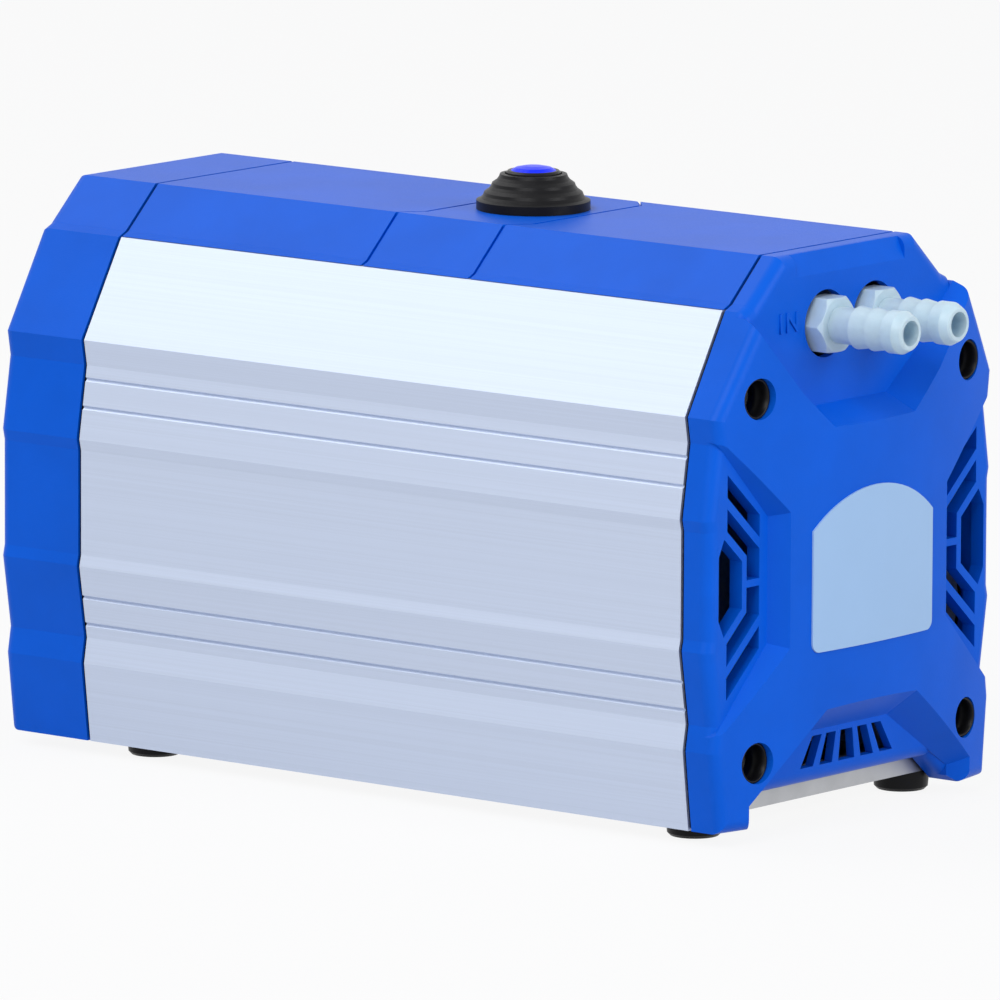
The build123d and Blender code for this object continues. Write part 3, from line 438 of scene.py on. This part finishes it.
def sleeve_mesh(name, places, mouth, floor, outer, wall, sides=48):
    """Thin sleeves round axes along X, each with a raised lip at its mouth."""
    mesh = bpy.data.meshes.new(name)
    form = bmesh.new()
    profile = [(floor, outer), (mouth, outer), (mouth + wall * 0.4, outer - wall * 0.5),
               (mouth, outer - wall), (floor, outer - wall)]
    turns = [2 * math.pi * k / sides for k in range(sides)]
    for y, z in places:
        rings = [[form.verts.new((x, y + r * math.cos(turn), z + r * math.sin(turn))) for turn in turns]
                 for x, r in profile]
        for a, b in zip(rings, rings[1:] + rings[:1]):
            for k in range(sides):
                n = (k + 1) % sides
                form.faces.new((a[k], a[n], b[n], b[k])).smooth = True
    bmesh.ops.recalc_face_normals(form, faces=form.faces[:])
    form.to_mesh(mesh)
    form.free()
    return mesh


class PUMP_OT_stage(Operator):
    """Make the pale floor, the soft lights and the camera"""

    bl_idname = "pump.stage"
    bl_label = "Floor, lights and camera"

    def execute(self, context):
        scene = context.scene
        mesh = bpy.data.meshes.new("floor")
        corners = [(x * FLOOR_HALF, y * FLOOR_HALF, 0) for x, y in ((-1, -1), (1, -1), (1, 1), (-1, 1))]
        mesh.from_pydata(corners, [], [(0, 1, 2, 3)])
        floor = bpy.data.objects.new("floor", mesh)
        floor.location.z = -FLOOR_DROP
        scene.collection.objects.link(floor)
        mesh.materials.append(pale_floor())
        make_world(scene)
        for name, place, side, power in LAMPS:
            add_lamp(name, place, side, power)
        scene.view_settings.view_transform = "Standard"
        make_camera(scene)
        return {"FINISHED"}


def seen_directly(tree):
    """One for a ray from the camera, off a glossy surface or through a clear one, else nought."""
    path = tree.nodes.new("ShaderNodeLightPath")
    value = path.outputs["Is Camera Ray"]
    for kind in ("Is Glossy Ray", "Is Transmission Ray"):
        larger = tree.nodes.new("ShaderNodeMath")
        larger.operation = "MAXIMUM"
        tree.links.new(value, larger.inputs[0])
        tree.links.new(path.outputs[kind], larger.inputs[1])
        value = larger.outputs[0]
    return value


def pale_floor():
    """Floor that is near white to the camera and keeps a soft shadow."""
    material, tree, shader = new_finish("pale_floor")
    shader.inputs["Base Color"].default_value = (0.6, 0.6, 0.62, 1)
    shader.inputs["Roughness"].default_value = 0.9
    glow = socketed(tree, "ShaderNodeEmission", Color=(1, 1, 1, 1), Strength=1.0)
    share = tree.nodes.new("ShaderNodeMath")
    share.operation = "MULTIPLY"
    share.inputs[1].default_value = FLOOR_GLOW
    mix = tree.nodes.new("ShaderNodeMixShader")
    tree.links.new(seen_directly(tree), share.inputs[0])
    tree.links.new(share.outputs[0], mix.inputs[0])
    tree.links.new(shader.outputs[0], mix.inputs[1])
    tree.links.new(glow.outputs[0], mix.inputs[2])
    tree.links.new(mix.outputs[0], tree.nodes["Material Output"].inputs["Surface"])
    return material


def make_world(scene):
    """Soft even surroundings that show white behind the pump."""
    world = bpy.data.worlds.new("soft_room")
    scene.world = world
    world.use_nodes = True
    tree = world.node_tree
    tree.nodes.clear()
    room = socketed(tree, "ShaderNodeBackground", Color=(0.93, 0.96, 1.0, 1), Strength=ROOM_LIGHT)
    white = socketed(tree, "ShaderNodeBackground", Color=(1, 1, 1, 1), Strength=1.0)
    mix = tree.nodes.new("ShaderNodeMixShader")
    output = tree.nodes.new("ShaderNodeOutputWorld")
    tree.links.new(seen_directly(tree), mix.inputs[0])
    tree.links.new(room.outputs[0], mix.inputs[1])
    tree.links.new(white.outputs[0], mix.inputs[2])
    tree.links.new(mix.outputs[0], output.inputs["Surface"])


def add_lamp(name, place, size, power):
    """A soft square lamp that faces the pump."""
    light = bpy.data.lights.new(name, "AREA")
    light.shape = "SQUARE"
    light.size = size
    light.energy = power
    lamp = bpy.data.objects.new(name, light)
    bpy.context.scene.collection.objects.link(lamp)
    lamp.location = place
    aim = LAMP_AIM - Vector(place)
    lamp.rotation_euler = aim.to_track_quat("-Z", "Y").to_euler()


def make_camera(scene):
    """Long lens seen from the inlet side, a little above the pump."""
    azimuth, elevation, roll = map(math.radians, (VIEW_AZIMUTH, VIEW_ELEVATION, VIEW_ROLL))
    level_right = Vector((math.cos(azimuth), math.sin(azimuth), 0))
    back = Vector((math.sin(azimuth) * math.cos(elevation), -math.cos(azimuth) * math.cos(elevation),
                   math.sin(elevation)))
    level_up = back.cross(level_right)
    right = level_right * math.cos(roll) + level_up * math.sin(roll)
    up = level_up * math.cos(roll) - level_right * math.sin(roll)
    lens = bpy.data.cameras.new("camera")
    lens.lens, lens.sensor_width = LENS_LENGTH, SENSOR_WIDTH
    lens.clip_start, lens.clip_end = 0.1, 100.0
    camera = bpy.data.objects.new("camera", lens)
    scene.collection.objects.link(camera)
    joint_foot = Vector((REAR_JOINT_X, 0, COVER_FOOT_Z))
    place = joint_foot + right * VIEW_RIGHT + up * VIEW_UP + back * VIEW_DISTANCE
    camera.matrix_world = Matrix((
        (right.x, up.x, back.x, place.x), (right.y, up.y, back.y, place.y),
        (right.z, up.z, back.z, place.z), (0, 0, 0, 1)))
    scene.camera = camera


STEPS = (PUMP_OT_finish_cad, PUMP_OT_bare_plate, PUMP_OT_port_word, PUMP_OT_painted_well_shade, PUMP_OT_stage)


class PUMP_PT_panel(Panel):
    """Lists the pump's steps in the order they are run"""

    bl_idname = "PUMP_PT_panel"
    bl_label = "Vacuum Pump"
    bl_space_type = "VIEW_3D"
    bl_region_type = "UI"
    bl_category = "Pump"

    def draw(self, context):
        for step in STEPS:
            self.layout.operator(step.bl_idname)


CLASSES = (PumpSizes, PumpColours, *STEPS, PUMP_PT_panel)


def register():
    for item in CLASSES:
        bpy.utils.register_class(item)
    bpy.types.Scene.pump_sizes = PointerProperty(type=PumpSizes)
    bpy.types.Scene.pump_colours = PointerProperty(type=PumpColours)


def unregister():
    del bpy.types.Scene.pump_colours
    del bpy.types.Scene.pump_sizes
    for item in reversed(CLASSES):
        bpy.utils.unregister_class(item)


def main():
    register()
    bpy.ops.pump.finish_cad()
    bpy.ops.pump.bare_plate()
    bpy.ops.pump.port_word()
    bpy.ops.pump.well_liners()
    bpy.ops.pump.stage()


if __name__ == "__main__":
    main()
